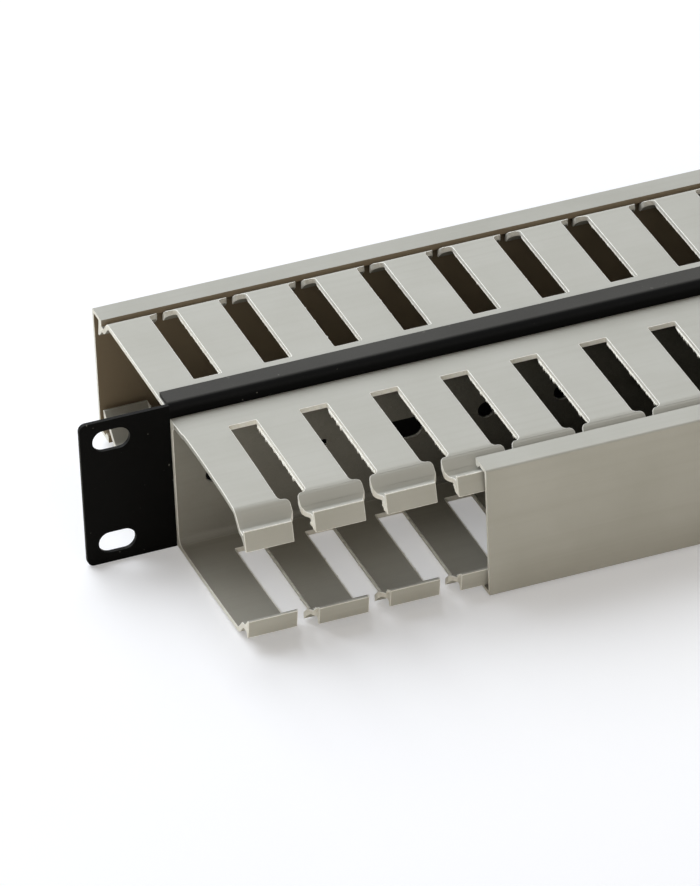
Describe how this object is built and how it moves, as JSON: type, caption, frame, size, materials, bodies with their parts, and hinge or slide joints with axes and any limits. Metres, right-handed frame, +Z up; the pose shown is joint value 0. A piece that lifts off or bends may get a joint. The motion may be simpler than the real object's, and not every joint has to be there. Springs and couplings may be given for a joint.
{
  "type": "horizontal cable manager",
  "caption": "One rack unit, double-sided horizontal cable manager: black folded ear panel between two slotted grey ducts with covers that clip over the lips and slide.",
  "frame": {"origin": "centre of the four rack slots, on the rear face of the panel's ears, which meets the rack's rails", "axes": "+X along the panel to the right seen from the front, +Y to the rear into the rack, +Z up"},
  "size_m": [0.5241, 0.1168, 0.044],
  "materials": {
    "panel_powder_coat": "black powder coat with a faint texture",
    "duct_plastic": "light grey rigid PVC, satin, rough where it is punched",
    "cover_plastic": "light grey rigid PVC, satin, fine lines along the extrusion",
    "fastener_steel": "bright zinc plate"
  },
  "bodies": {
    "panel_and_ducts": {"panel": "panel_powder_coat", "front_duct": "duct_plastic", "rear_duct": "duct_plastic", "fixing_screw_1": "fastener_steel", "head_washer_1": "fastener_steel", "nut_washer_1": "fastener_steel", "fixing_nut_1": "fastener_steel", "fixing_screw_2": "fastener_steel", "head_washer_2": "fastener_steel", "nut_washer_2": "fastener_steel", "fixing_nut_2": "fastener_steel", "fixing_screw_3": "fastener_steel", "head_washer_3": "fastener_steel", "nut_washer_3": "fastener_steel", "fixing_nut_3": "fastener_steel", "fixing_screw_4": "fastener_steel", "head_washer_4": "fastener_steel", "nut_washer_4": "fastener_steel", "fixing_nut_4": "fastener_steel"},
    "front_cover": {"front_cover": "cover_plastic"},
    "rear_cover": {"rear_cover": "cover_plastic"}
  },
  "joints": [
    {"name": "front_cover_slide", "type": "slide", "parent": "panel_and_ducts", "child": "front_cover", "axis": [1, 0, 0], "range_m": [-0.4628, 0.3292]},
    {"name": "rear_cover_slide", "type": "slide", "parent": "panel_and_ducts", "child": "rear_cover", "axis": [1, 0, 0], "range_m": [-0.3954, 0.3966]}
  ]
}
